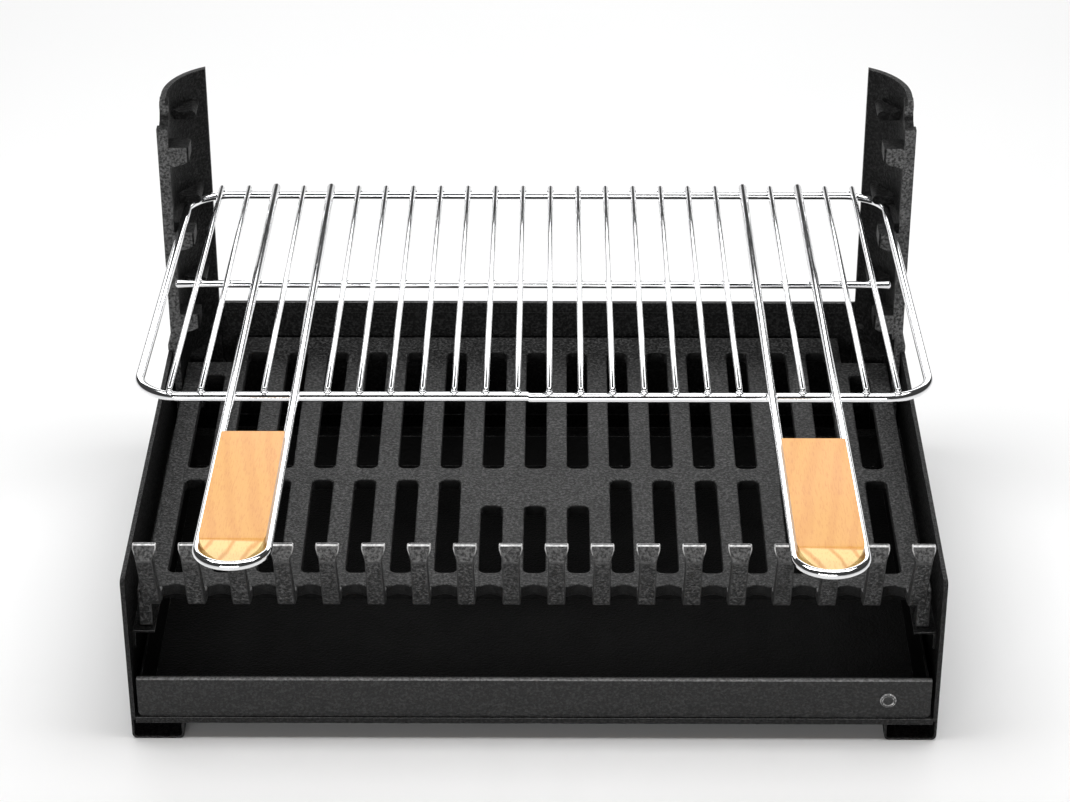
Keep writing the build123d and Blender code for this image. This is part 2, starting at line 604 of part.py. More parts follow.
def make_grip(pair, reach):
    """Wooden block between a handle's legs, grooved for them; its round nose is bevelled above and below."""
    mid = (wire_x(pair[0]) + wire_x(pair[1])) / 2
    radius = GRIP_WIDTH / 2
    end = -reach + GRIP_GAP
    start = end + GRIP_LENGTH
    nose = end + radius
    outline = make_face([Line((mid - radius, start), (mid - radius, nose)),
                         ThreePointArc((mid - radius, nose), (mid, end), (mid + radius, nose)),
                         Line((mid + radius, nose), (mid + radius, start)),
                         Line((mid + radius, start), (mid - radius, start))])
    body = Pos(0, 0, HANDLE_LIFT - GRIP_THICK / 2) * extrude(outline, amount=GRIP_THICK)
    top = HANDLE_LIFT + GRIP_THICK / 2
    run, drop = GRIP_BEVEL
    low = HANDLE_LIFT - GRIP_THICK / 2
    above = Plane.YZ * Polyline((end - 1, top + 1), (end + run, top + 1), (end + run, top),
                                (end, top - drop), (end - 1, top - drop), close=True)
    below = Plane.YZ * Polyline((end - 1, low - 1), (end + run, low - 1), (end + run, low),
                                (end, low + GRIP_UNDER_BEVEL), (end - 1, low + GRIP_UNDER_BEVEL), close=True)
    for wedge in (above, below):
        body -= Pos(mid - radius - 5, 0, 0) * extrude(make_face(wedge), amount=GRIP_WIDTH + 10, dir=(1, 0, 0))
    path = Pos(0, 0, HANDLE_LIFT) * handle_path(pair, start + 20, -reach)
    section = Plane(origin=path.position_at(0), z_dir=path.tangent_at(0)) * Circle(HANDLE_D / 2 + GRIP_PLAY)
    return tipped(body - sweep(section, path=path))


# --------------------------------------------------------------------- files

def save(name, shape):
    shape.label = name
    export_step(shape, f"parts/{name}.step")


side_left = make_side_panel_left()
save("side_panel_left", side_left)
save("side_panel_right", mirrored(side_left))
save("back_panel", make_back_panel())
save("floor_panel", make_floor_panel())
rail_left = make_grate_rail_left()
save("grate_rail_left", rail_left)
save("grate_rail_right", mirrored(rail_left))
save("back_rivets", make_back_rivets())
save("floor_rivets", make_floor_rivets())
save("rail_rivets", make_rail_rivets())
upright = make_upright_right()
save("upright_right", upright)
save("upright_left", mirrored(upright))
save("upright_bolts", make_upright_bolts())
save("ash_tray", make_ash_tray())
save("lip_stud", make_lip_stud())
save("fire_grate", make_fire_grate())
save("grill_rim", make_grill_rim())
save("grill_crossbar", make_crossbar())
handle_indices = [index for pair in HANDLE_WIRES for index in pair]
thin = [index for index in range(WIRE_COUNT) if index not in handle_indices]
for number, index in enumerate(thin, start=1):
    save(f"grill_wire_{number:02d}", make_grill_wire(index))
for side, pair, reach in zip(("left", "right"), HANDLE_WIRES, HANDLE_REACH):
    save(f"handle_loop_{side}", make_handle_loop(pair, reach))
    save(f"handle_grip_{side}", make_grip(pair, reach))
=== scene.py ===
import json
from math import cos, pi, radians, sin

import bmesh
import bpy
from mathutils import Matrix, Vector


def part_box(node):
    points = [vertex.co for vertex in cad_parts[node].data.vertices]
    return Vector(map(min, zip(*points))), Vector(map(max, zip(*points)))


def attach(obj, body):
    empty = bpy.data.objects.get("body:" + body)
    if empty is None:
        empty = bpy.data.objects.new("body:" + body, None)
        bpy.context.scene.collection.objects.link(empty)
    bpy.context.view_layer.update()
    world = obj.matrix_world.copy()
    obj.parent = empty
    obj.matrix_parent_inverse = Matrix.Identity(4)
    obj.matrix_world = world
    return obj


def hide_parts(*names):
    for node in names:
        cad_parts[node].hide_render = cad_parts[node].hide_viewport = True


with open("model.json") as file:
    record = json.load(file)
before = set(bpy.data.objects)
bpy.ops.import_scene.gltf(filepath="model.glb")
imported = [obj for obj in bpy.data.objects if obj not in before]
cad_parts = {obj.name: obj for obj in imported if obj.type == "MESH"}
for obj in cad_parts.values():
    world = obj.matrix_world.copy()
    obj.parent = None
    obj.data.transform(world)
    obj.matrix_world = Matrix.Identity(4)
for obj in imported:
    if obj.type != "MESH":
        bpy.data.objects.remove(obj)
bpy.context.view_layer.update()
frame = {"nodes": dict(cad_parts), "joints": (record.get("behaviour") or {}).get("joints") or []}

MM = 0.001

# Radii of the cooking grill's wires.
RIM_R = 3.25 * MM
WIRE_R = 2.0 * MM
HANDLE_R = 3.0 * MM
CROSSBAR_R = 2.75 * MM

# Read from the frame: the casing's front plane, the way out along the grill's plane, the way up from
# that plane, and the middle of the grill's rear bar.
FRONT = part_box("side_panel_left")[0].y
OUT = Vector(next(j["axis"] for j in frame["joints"] if j["name"] == "grill_draw"))
UP = Vector((1, 0, 0)).cross(-OUT)
REAR = Vector((0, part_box("grill_rim")[1].y - RIM_R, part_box("grill_rim")[0].z + RIM_R))


def on_grill(x, out, height=0.0):
    """Point on the tilted grill: across, forward from the rear bar, and above its plane."""
    return REAR + Vector((x, 0, 0)) + OUT * out + UP * height


# ------------------------------------------------------------------ shader nodes

# Sockets of a Mix node that carry its factor, its two colours and the result.
MIX_FACTOR, MIX_FIRST, MIX_SECOND, MIX_RESULT = 0, 6, 7, 2


def start_material(name):
    """Empty material with a Principled shader on its output."""
    material = bpy.data.materials.new(name)
    material.use_nodes = True
    tree = material.node_tree
    tree.nodes.clear()
    output = tree.nodes.new("ShaderNodeOutputMaterial")
    shader = tree.nodes.new("ShaderNodeBsdfPrincipled")
    tree.links.new(shader.outputs["BSDF"], output.inputs["Surface"])
    return material, tree, shader


def object_space(tree, stretch=(1, 1, 1)):
    """Position on the object in metres, scaled along each axis."""
    place = tree.nodes.new("ShaderNodeTexCoord")
    mapping = tree.nodes.new("ShaderNodeMapping")
    mapping.inputs["Scale"].default_value = stretch
    tree.links.new(place.outputs["Object"], mapping.inputs["Vector"])
    return mapping.outputs["Vector"]


def object_axis(tree, axis):
    """Position on the object along X, Y or Z, in metres."""
    split = tree.nodes.new("ShaderNodeSeparateXYZ")
    tree.links.new(object_space(tree), split.inputs["Vector"])
    return split.outputs[axis]


def noise(tree, size, detail=4.0, roughness=0.55, stretch=(1, 1, 1)):
    """Noise whose features are about size metres across."""
    node = tree.nodes.new("ShaderNodeTexNoise")
    node.inputs["Scale"].default_value = 1.0 / size
    node.inputs["Detail"].default_value = detail
    node.inputs["Roughness"].default_value = roughness
    tree.links.new(object_space(tree, stretch), node.inputs["Vector"])
    return node.outputs["Fac"]


def ramp(tree, value, *stops):
    """Colour ramp through (position, colour) stops; a plain number is a grey."""
    node = tree.nodes.new("ShaderNodeValToRGB")
    points = node.color_ramp.elements
    while len(points) < len(stops):
        points.new(0.5)
    for point, (position, colour) in zip(points, stops):
        point.position = position
        grey = isinstance(colour, (int, float))
        point.color = (colour, colour, colour, 1) if grey else (*colour, 1)
    tree.links.new(value, node.inputs["Fac"])
    return node.outputs["Color"]


def ranged(tree, value, start, end, low=0.0, high=1.0):
    """Value that goes from low to high while the given one goes from start to end."""
    node = tree.nodes.new("ShaderNodeMapRange")
    node.inputs["From Min"].default_value = start
    node.inputs["From Max"].default_value = end
    node.inputs["To Min"].default_value = low
    node.inputs["To Max"].default_value = high
    tree.links.new(value, node.inputs["Value"])
    return node.outputs["Result"]


def span(tree, value, low, high):
    """Noise stretched over low to high, as most of it lies between 0.3 and 0.7."""
    return ranged(tree, value, 0.3, 0.7, low, high)


def mix(tree, kind, factor, first, second):
    """Two colours mixed or multiplied, by a number or by another node's value."""
    node = tree.nodes.new("ShaderNodeMix")
    node.data_type = "RGBA"
    node.blend_type = kind
    if isinstance(factor, (int, float)):
        node.inputs[MIX_FACTOR].default_value = factor
    else:
        tree.links.new(factor, node.inputs[MIX_FACTOR])
    tree.links.new(first, node.inputs[MIX_FIRST])
    tree.links.new(second, node.inputs[MIX_SECOND])
    return node.outputs[MIX_RESULT]


def bump(tree, height, depth, strength=1.0, under=None):
    """Surface relief about depth metres high, on top of another relief."""
    node = tree.nodes.new("ShaderNodeBump")
    node.inputs["Strength"].default_value = strength
    node.inputs["Distance"].default_value = depth
    tree.links.new(height, node.inputs["Height"])
    if under is not None:
        tree.links.new(under, node.inputs["Normal"])
    return node.outputs["Normal"]


def facing(tree, axis, start, end):
    """0 to 1 as the surface normal's part along the object's X, Y or Z goes from start to end."""
    place = tree.nodes.new("ShaderNodeTexCoord")
    split = tree.nodes.new("ShaderNodeSeparateXYZ")
    tree.links.new(place.outputs["Normal"], split.inputs["Vector"])
    return ranged(tree, split.outputs[axis], start, end)


def in_front(tree, limit):
    """1 in front of the plane Y = limit, 0 behind it."""
    node = tree.nodes.new("ShaderNodeMath")
    node.operation = "LESS_THAN"
    tree.links.new(object_axis(tree, "Y"), node.inputs[0])
    node.inputs[1].default_value = limit
    return node.outputs["Value"]


# ------------------------------------------------------------------ materials

def textured_paint(name, dark, light, gloss):
    """Black stove paint with a fine crinkle."""
    material, tree, shader = start_material(name)
    speck = noise(tree, 1.9 * MM, 3.0, 0.6)
    cloud = noise(tree, 60 * MM, 3.0)
    base = ramp(tree, speck, (0.40, dark), (0.50, light), (0.60, light * 3.5))
    shade = ramp(tree, cloud, (0.3, 0.7), (0.7, 1.0))
    tree.links.new(mix(tree, "MULTIPLY", 1.0, base, shade), shader.inputs["Base Color"])
    tree.links.new(span(tree, speck, 0.55, 0.35), shader.inputs["Roughness"])
    shader.inputs["Specular IOR Level"].default_value = gloss
    tree.links.new(bump(tree, speck, 1.2 * MM, 1.0), shader.inputs["Normal"])
    return material


def tray_paint_with_painted_light(name, unshaded_to, shaded_from):
    """Tray's stove paint: a painted highlight on the lip's upward faces, and painted shade, darker and
    matt, behind the lip.
    """
    material, tree, shader = start_material(name)
    speck = noise(tree, 1.9 * MM, 3.0, 0.6)
    face = ramp(tree, speck, (0.38, 0.004), (0.50, 0.009), (0.64, 0.030))
    # Painted highlight: the lip's upward faces are paler, where light catches its top edge.
    painted_light_colour = ramp(tree, speck, (0.38, 0.10), (0.60, 0.30))
    lip_colour = mix(tree, "MIX", facing(tree, "Z", 0.35, 0.75), face, painted_light_colour)
    # Painted shade: behind the lip the paint is darker, for the shade under the grate.
    painted_shade = ramp(tree, noise(tree, 30 * MM, 4.0), (0.3, 0.0022), (0.7, 0.005))
    behind = ranged(tree, object_axis(tree, "Y"), unshaded_to, shaded_from)
    tree.links.new(mix(tree, "MIX", behind, lip_colour, painted_shade), shader.inputs["Base Color"])
    gloss = ramp(tree, behind, (0.0, 0.36), (1.0, 0.10))
    tree.links.new(gloss, shader.inputs["Specular IOR Level"])
    shader.inputs["Roughness"].default_value = 0.5
    tree.links.new(bump(tree, speck, 1.2 * MM, 1.0), shader.inputs["Normal"])
    return material


def cast_iron(name, dark, light, gloss, wear_and_light=1.0, axis="Y", turn=(-0.93, -0.99), limit=1.0):
    """Sand-cast iron, grainy and pitted.

    Faces turned along the axis, in front of Y = limit, get painted light: their colour is the rest's scaled
    by the factor after gloss, a painted highlight above 1 and painted shade below it.
    """
    material, tree, shader = start_material(name)
    grain = noise(tree, 2.0 * MM, 4.0, 0.65)
    pits = noise(tree, 5 * MM, 3.0, 0.6)
    cloud = noise(tree, 40 * MM, 3.0)
    plain = ramp(tree, grain, (0.40, dark), (0.50, light), (0.62, light * 4))
    # Painted light on the turned faces: the plain colour scaled brighter or darker by the factor.
    painted_light_colour = ramp(tree, grain, (0.40, dark * wear_and_light), (0.50, light * wear_and_light), (0.64, light * 1.8 * wear_and_light))
    turned = mix(tree, "MIX", in_front(tree, limit), plain, painted_light_colour)
    base = mix(tree, "MIX", facing(tree, axis, *turn), plain, turned)
    shade = ramp(tree, cloud, (0.3, 0.65), (0.7, 1.0))
    tree.links.new(mix(tree, "MULTIPLY", 1.0, base, shade), shader.inputs["Base Color"])
    tree.links.new(span(tree, pits, 0.42, 0.60), shader.inputs["Roughness"])
    shader.inputs["Specular IOR Level"].default_value = gloss
    coarse = bump(tree, pits, 0.8 * MM, 0.7)
    tree.links.new(bump(tree, grain, 1.2 * MM, 1.0, coarse), shader.inputs["Normal"])
    return material


def worn_metal(name, dark, light, roughness):
    """Edge where handling has rubbed the coating down towards bare metal."""
    material, tree, shader = start_material(name)
    wear_and_light = noise(tree, 3 * MM, 4.0, 0.7)
    tree.links.new(ramp(tree, wear_and_light, (0.35, dark), (0.65, light)), shader.inputs["Base Color"])
    shader.inputs["Metallic"].default_value = 0.6
    shader.inputs["Roughness"].default_value = roughness
    tree.links.new(bump(tree, wear_and_light, 0.1 * MM, 0.5), shader.inputs["Normal"])
    return material


def rubbed_highlit_tips(name, low, high):
    """Edge of the fingers, dull up to the height low and bright from the height high: rubbed metal with a
    painted highlight on the top edges.
    """
    material, tree, shader = start_material(name)
    wear_and_light = noise(tree, 3 * MM, 4.0, 0.7)
    height = ranged(tree, object_axis(tree, "Z"), low, high)
    dull = ramp(tree, wear_and_light, (0.35, 0.02), (0.65, 0.07))
    # Bright tips: rubbed metal, and a painted highlight where light catches the top edges.
    bright = ramp(tree, wear_and_light, (0.35, 0.35), (0.65, 0.85))
    tree.links.new(mix(tree, "MIX", height, dull, bright), shader.inputs["Base Color"])
    shader.inputs["Metallic"].default_value = 0.4
    shader.inputs["Roughness"].default_value = 0.45
    tree.links.new(bump(tree, wear_and_light, 0.1 * MM, 0.5), shader.inputs["Normal"])
    return material


def chrome(name):
    """Chromed wire with faint haze."""
    material, tree, shader = start_material(name)
    haze = noise(tree, 14 * MM, 3.0)
    shader.inputs["Metallic"].default_value = 1.0
    tree.links.new(ramp(tree, haze, (0.3, (0.78, 0.79, 0.80)), (0.7, (0.90, 0.90, 0.91))),
                   shader.inputs["Base Color"])
    tree.links.new(span(tree, haze, 0.06, 0.13), shader.inputs["Roughness"])
    return material


def varnished_wood(name, early, late, bevel):
    """Orange-tan hardwood: growth rings drawn out along Y, fine pores, and paler bevelled faces."""
    material, tree, shader = start_material(name)
    waves = tree.nodes.new("ShaderNodeTexWave")
    waves.wave_type = "RINGS"
    waves.rings_direction = "Y"
    waves.inputs["Scale"].default_value = 1 / (22 * MM)
    waves.inputs["Distortion"].default_value = 5.0
    waves.inputs["Detail"].default_value = 3.0
    waves.inputs["Detail Scale"].default_value = 0.7
    tree.links.new(object_space(tree, (1, 0.2, 1)), waves.inputs["Vector"])
    pores = noise(tree, 0.8 * MM, 3.0, 0.6, (1, 0.035, 1))
    cloud = noise(tree, 50 * MM, 2.0, 0.5, (1, 0.4, 1))
    side_grain = ramp(tree, waves.outputs["Fac"], (0.10, late), (0.55, early))
    end_grain = ramp(tree, waves.outputs["Fac"], (0.0, early), (0.22, bevel))
    base = mix(tree, "MIX", facing(tree, "Y", -0.28, -0.42), side_grain, end_grain)
    streak = ramp(tree, pores, (0.36, (0.84, 0.64, 0.42)), (0.48, (1.0, 1.0, 1.0)))
    tint = ramp(tree, cloud, (0.3, (1.0, 0.92, 0.84)), (0.7, (1.0, 1.0, 1.0)))
    grained = mix(tree, "MULTIPLY", 0.5, base, streak)
    tree.links.new(mix(tree, "MULTIPLY", 1.0, grained, tint), shader.inputs["Base Color"])
    tree.links.new(span(tree, cloud, 0.34, 0.46), shader.inputs["Roughness"])
    shader.inputs["Coat Weight"].default_value = 0.1
    shader.inputs["Coat Roughness"].default_value = 0.25
    tree.links.new(bump(tree, pores, 0.06 * MM, 0.5), shader.inputs["Normal"])
    return material


def pale_floor(name):
    """Matt, almost white studio floor."""
    material, tree, shader = start_material(name)
    cloud = noise(tree, 0.8, 2.0)
    tree.links.new(ramp(tree, cloud, (0.3, 0.86), (0.7, 0.88)), shader.inputs["Base Color"])
    shader.inputs["Roughness"].default_value = 0.9
    return material


# The front faces of an upright's strip and blocks lie in front of this plane, those of its hooks behind it;
# only the ones in front get the uprights' painted light.
STRIP_FACES = FRONT + 350 * MM

PAINT = textured_paint("black_paint", dark=0.003, light=0.008, gloss=0.20)
PAINT_EDGE = worn_metal("paint_edge", dark=0.14, light=0.45, roughness=0.36)
# Tray: painted highlight on the lip's top, and painted shade from just behind the lip's front.
TRAY_PAINT = tray_paint_with_painted_light("tray_paint", unshaded_to=FRONT + 2.5 * MM, shaded_from=FRONT + 6 * MM)
# Fingers and legs: upward faces painted three times paler, a painted highlight from above.
TOP_LIT_IRON = cast_iron("cast_iron", 0.008, 0.030, gloss=0.3, wear_and_light=3.0, axis="Z", turn=(0.1, 0.45))
# Plate: faces turned to the front painted near black, painted shade under the fingers.
FRONT_SHADED_PLATE_IRON = cast_iron("front_shaded_plate_iron", 0.005, 0.021, gloss=0.27, wear_and_light=0.06, turn=(-0.5, -0.8))
# Near-black iron for the rib under the plate's front edge: painted shade.
SHADE_IRON = cast_iron("painted_shade_iron", 0.001, 0.003, gloss=0.08)
# Uprights: walls painted darker than the other iron, painted shade, and strip and block fronts seventeen
# times paler, painted light from the front.
FRONT_LIT_UPRIGHT_IRON = cast_iron("front_lit_upright_iron", 0.002, 0.007, gloss=0.16, wear_and_light=17.0, limit=STRIP_FACES)
IRON_EDGE = worn_metal("iron_edge", dark=0.10, light=0.36, roughness=0.40)
# Finger edges: dull lower down, rubbed and painted highlight along the tops of the heads.
FINGER_EDGE = rubbed_highlit_tips("finger_edge", low=152 * MM, high=156 * MM)
# Stud: faces turned to the front painted near black, painted shade in the dish inside the rim.
STUD = cast_iron("stud_steel", 0.20, 0.36, gloss=0.5, wear_and_light=0.05, turn=(-0.80, -0.96))
RIVET = worn_metal("rivet_steel", dark=0.03, light=0.10, roughness=0.34)
CHROME = chrome("chromed_wire")
WOOD = varnished_wood("grip_wood", early=(0.66, 0.325, 0.062), late=(0.63, 0.292, 0.050),
                      bevel=(0.92, 0.66, 0.26))
WOOD_EDGE = varnished_wood("grip_wood_edge", early=(0.82, 0.52, 0.17), late=(0.76, 0.44, 0.12),
                           bevel=(0.92, 0.68, 0.30))


# ------------------------------------------------------------------ mesh tools

def place_piece(name, mesh, body, materials):
    """Puts a finished mesh in the scene, on its body and with its finish."""
    piece = bpy.data.objects.new(name, mesh)
    bpy.context.scene.collection.objects.link(piece)
    for material in materials:
        mesh.materials.append(material)
    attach(piece, body)
    return piece


# Edges sharper than the first angle are rounded, and facets flatter than the second are joined into one.
ROUND_FROM = radians(32)
FLAT_WITHIN = radians(0.5)
SAME_POINT = 0.002 * MM


def round_edges(piece, width, segments=2, worn=False):
    """Rounds a piece's sharp edges; with worn, the rounding gets the second material."""
    piece.data.polygons.foreach_set("use_smooth", [True] * len(piece.data.polygons))
    bevel = piece.modifiers.new("rounded_edges", "BEVEL")
    bevel.width = width
    bevel.segments = segments
    bevel.limit_method = "ANGLE"
    bevel.angle_limit = ROUND_FROM
    bevel.material = 1 if worn else -1
    flats = piece.modifiers.new("even_flats", "WEIGHTED_NORMAL")
    flats.weight = 100


def softened(node, body, materials, width, segments=2):
    """Stands for a CAD node: the same shape with its sharp edges rounded and worn."""
    form = bmesh.new()
    form.from_mesh(frame["nodes"][node].data)
    bmesh.ops.remove_doubles(form, verts=form.verts, dist=SAME_POINT)
    bmesh.ops.dissolve_limit(form, angle_limit=FLAT_WITHIN, verts=form.verts, edges=form.edges)
    for face in form.faces:
        face.material_index = 0
    mesh = bpy.data.meshes.new(node + "_look")
    form.to_mesh(mesh)
    form.free()
    piece = place_piece(node + "_look", mesh, body, materials)
    round_edges(piece, width, segments, worn=True)
    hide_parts(node)


# A wire's domed end: its height as a share of the radius, and how far round each of its rings lies.
DOME = 0.75
DOME_TURNS = [step * pi / 2 / 3.2 for step in (1, 2, 3)]


def add_tube(form, path, radius, closed=False, sides=20):
    """Round tube along a list of points, with domed ends unless it is closed."""
    count = len(path)
    rings = []
    previous = None
    for i, point in enumerate(path):
        before = path[(i - 1) % count] if closed or i > 0 else point
        after = path[(i + 1) % count] if closed or i < count - 1 else point
        along = (after - before).normalized()
        side = UP if previous is None else previous
        side = (side - along * side.dot(along)).normalized()
        previous = side
        other = along.cross(side)
        rings.append((point, side, other, along, radius))
    if not closed:
        for end, sign in ((0, -1), (-1, 1)):
            point, side, other, along, _ = rings[end]
            caps = []
            for turn in DOME_TURNS:
                caps.append((point + along * sign * radius * DOME * sin(turn), side, other, along,
                             radius * cos(turn)))
            rings = caps[::-1] + rings if end == 0 else rings + caps
    loops = []
    for point, side, other, _, r in rings:
        loop = []
        for k in range(sides):
            turn = 2 * pi * k / sides
            loop.append(form.verts.new(point + (side * cos(turn) + other * sin(turn)) * r))
        loops.append(loop)
    pairs = list(zip(loops, loops[1:]))
    if closed:
        pairs.append((loops[-1], loops[0]))
    for first, second in pairs:
        for k in range(sides):
            n = (k + 1) % sides
            form.faces.new((first[k], first[n], second[n], second[k]))
    if not closed:
        form.faces.new(loops[0][::-1])
        form.faces.new(loops[-1])


def finish_form(form, name):
    """Turns a form into a smooth mesh with its faces outwards, and frees it."""
    bmesh.ops.recalc_face_normals(form, faces=form.faces)
    for face in form.faces:
        face.smooth = True
    mesh = bpy.data.meshes.new(name)
    form.to_mesh(mesh)
    form.free()
    return mesh


def arc(centre, radius, start, end, steps):
    """Points on an arc, as pairs, both ends included; angles in degrees."""
    points = []
    for i in range(steps + 1):
        turn = radians(start + (end - start) * i / steps)
        points.append((centre[0] + radius * cos(turn), centre[1] + radius * sin(turn)))
    return points


def loft(form, sections):
    """Closed body through a list of sections with the same number of corners."""
    loops = [[form.verts.new(corner) for corner in section] for section in sections]
    for first, second in zip(loops, loops[1:]):
        for k in range(len(first)):
            n = (k + 1) % len(first)
            form.faces.new((first[k], first[n], second[n], second[k]))
    form.faces.new(loops[0][::-1])
    form.faces.new(loops[-1])


# ------------------------------------------------------------------ fire grate

# The fingers' tips stand this far above the plate's top.
FINGER_RISE = 54.2 * MM

# Plate of the grate; its bars and the gaps between them are counted from the left.
BARS = 18
PITCH = 31.5 * MM
BAR_W = 15.6 * MM
GRATE_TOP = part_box("fire_grate")[1].z - FINGER_RISE
GRATE_THICK = 8.6 * MM
GRATE_HALF = (BARS - 1) / 2 * PITCH + BAR_W / 2
GRATE_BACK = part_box("fire_grate")[1].y
GRATE_FRONT = FRONT + 38 * MM
NOTCH_X = 240 * MM
NOTCH_Y = FRONT + 351 * MM
PLATE_EDGE = 1.1 * MM

# Shallow arch in the plate's front edge between two fingers, in straight steps.
ARCH = 3 * MM
ARCH_STEPS = 8

# Rows of slots, from and to in millimetres behind the casing's front. The short ones clear the plain band
# in the middle and the notches at the rear corners.
SLOT_R = 5 * MM
SLOT_CORNER_STEPS = 5
FRONT_ROW = (56.2, 177.8)
FRONT_ROW_SHORT = (56.2, 143.0)
BACK_ROW = (194.5, 366.6)
BACK_ROW_SHORT = (194.5, 331.0)
MIDDLE_GAPS = (7, 8, 9)
OUTER_GAPS = (0, BARS - 2)

# Front legs and the cross rib under the plate.
LEG_X = 274.5 * MM
LEG_HALF = 4.8 * MM
LEG_Y = (FRONT + 36 * MM, FRONT + 48 * MM)
LEG_TOP = GRATE_TOP - 1 * MM
RIB_Y = (FRONT + 45 * MM, FRONT + 50 * MM)
RIB_Z = (GRATE_TOP - 15.5 * MM, GRATE_TOP - 3 * MM)


def bar_x(index):
    """Middle of a bar."""
    return (index - (BARS - 1) / 2) * PITCH


def slot_loop(index, span_mm):
    """Outline of a rounded slot between two bars, clockwise."""
    x = (bar_x(index) + bar_x(index + 1)) / 2
    half = (PITCH - BAR_W) / 2
    y0 = FRONT + span_mm[0] * MM
    y1 = FRONT + span_mm[1] * MM
    r = SLOT_R
    corners = ((x + half - r, y1 - r), (x - half + r, y1 - r),
               (x - half + r, y0 + r), (x + half - r, y0 + r))
    points = []
    for quarter, corner in enumerate(corners):
        points += arc(corner, r, 90 * quarter, 90 * quarter + 90, SLOT_CORNER_STEPS)
    return points[::-1]


def grate_outline():
    """Plate outline, anticlockwise, with a shallow arch between the fingers."""
    points = []
    half_gap = (PITCH - BAR_W) / 2
    for index in range(BARS - 1):
        x = (bar_x(index) + bar_x(index + 1)) / 2
        points.append((x - half_gap, GRATE_FRONT))
        for step in range(1, ARCH_STEPS):
            t = step / ARCH_STEPS
            points.append((x - half_gap + 2 * half_gap * t, GRATE_FRONT + ARCH * sin(pi * t)))
        points.append((x + half_gap, GRATE_FRONT))
    points = [(-GRATE_HALF, GRATE_FRONT)] + points + [(GRATE_HALF, GRATE_FRONT)]
    points += [(GRATE_HALF, NOTCH_Y), (NOTCH_X, NOTCH_Y), (NOTCH_X, GRATE_BACK)]
    points += [(-NOTCH_X, GRATE_BACK), (-NOTCH_X, NOTCH_Y), (-GRATE_HALF, NOTCH_Y)]
    return points


def plate_mesh(loops, low, high, edge):
    """Flat plate with holes and softly rounded edges, from outlines in plan."""
    curve = bpy.data.curves.new("plate", "CURVE")
    curve.dimensions = "2D"
    curve.fill_mode = "BOTH"
    curve.extrude = (high - low) / 2 - edge
    curve.bevel_depth = edge
    curve.bevel_resolution = 2
    curve.offset = -edge
    for loop in loops:
        spline = curve.splines.new("POLY")
        spline.points.add(len(loop) - 1)
        for point, (x, y) in zip(spline.points, loop):
            point.co = (x, y, 0, 1)
        spline.use_cyclic_u = True
    holder = bpy.data.objects.new("plate", curve)
    mesh = bpy.data.meshes.new_from_object(holder)
    mesh.transform(Matrix.Translation((0, 0, (low + high) / 2)))
    bpy.data.objects.remove(holder)
    bpy.data.curves.remove(curve)
    return mesh


def finger_profile():
    """Sections from a finger's root to its tip, in millimetres from the casing's front and base.

    Each is the front corner (y, z), the back corner (y, z) and half the width.
    """
    top = (GRATE_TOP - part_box("side_panel_left")[0].z) / MM
    root_and_bend = [((46, top - 8.2), (46, top - 0.4), 6.7), ((33, top - 8.2), (35, top - 0.2), 6.6),
                     ((25, top - 6.2), (31, top + 1.0), 6.3), ((21.6, top - 1.0), (28.4, top + 5.0), 6.2)]
    neck = [((3.2, 148.0), (9.9, 147.0), 5.8), ((4.0, 149.6), (10.2, 148.6), 6.1)]
    head = [((7.6, 155.4), (12.4, 155.2), 8.1), ((8.8, 156.4), (13.0, 156.2), 8.3),
            ((9.6, 158.6), (12.8, 158.6), 8.2)]
    return root_and_bend + neck + head


def add_finger(form, index):
    """Finger from a bar's front end: it bends up, leans forward and ends in a flared head."""
    x = bar_x(index)
    sections = []
    for (front_y, front_z), (back_y, back_z), half in finger_profile():
        sections.append([Vector((x - half * MM, FRONT + front_y * MM, front_z * MM)),
                         Vector((x + half * MM, FRONT + front_y * MM, front_z * MM)),
                         Vector((x + half * MM, FRONT + back_y * MM, back_z * MM)),
                         Vector((x - half * MM, FRONT + back_y * MM, back_z * MM))])
    loft(form, sections)


def slab(form, low, high):
    """Plain block between its lowest and its highest corner."""
    sections = []
    for z in (low[2], high[2]):
        sections.append([Vector((low[0], low[1], z)), Vector((high[0], low[1], z)),
                         Vector((high[0], high[1], z)), Vector((low[0], high[1], z))])
    loft(form, sections)


def build_plate():
    """Slotted plate of the grate; the legs, rib and fingers are pieces of their own."""
    loops = [grate_outline()]
    for index in range(BARS - 1):
        loops.append(slot_loop(index, FRONT_ROW_SHORT if index in MIDDLE_GAPS else FRONT_ROW))
        loops.append(slot_loop(index, BACK_ROW_SHORT if index in OUTER_GAPS else BACK_ROW))
    mesh = plate_mesh(loops, GRATE_TOP - GRATE_THICK, GRATE_TOP, PLATE_EDGE)
    mesh.polygons.foreach_set("use_smooth", [True] * len(mesh.polygons))
    mesh.set_sharp_from_angle(angle=radians(50))
    return place_piece("grate_plate", mesh, "grate", [FRONT_SHADED_PLATE_IRON])


def build_fingers():
    """Fence of fingers, with the two front legs that stand on the rails."""
    form = bmesh.new()
    for index in range(BARS):
        add_finger(form, index)
    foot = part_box("fire_grate")[0].z
    for x in (-LEG_X, LEG_X):
        slab(form, (x - LEG_HALF, LEG_Y[0], foot), (x + LEG_HALF, LEG_Y[1], LEG_TOP))
    fence = place_piece("grate_fingers", finish_form(form, "grate_fingers"), "grate",
                        [TOP_LIT_IRON, FINGER_EDGE])
    round_edges(fence, 0.9 * MM, worn=True)


def build_rib():
    """Rib across the underside of the plate, near its front edge."""
    form = bmesh.new()
    slab(form, (-GRATE_HALF, RIB_Y[0], RIB_Z[0]), (GRATE_HALF, RIB_Y[1], RIB_Z[1]))
    # Its near-black colour is painted shade under the plate's front edge.
    rib = place_piece("grate_rib", finish_form(form, "grate_rib"), "grate", [SHADE_IRON])
    round_edges(rib, 0.8 * MM)


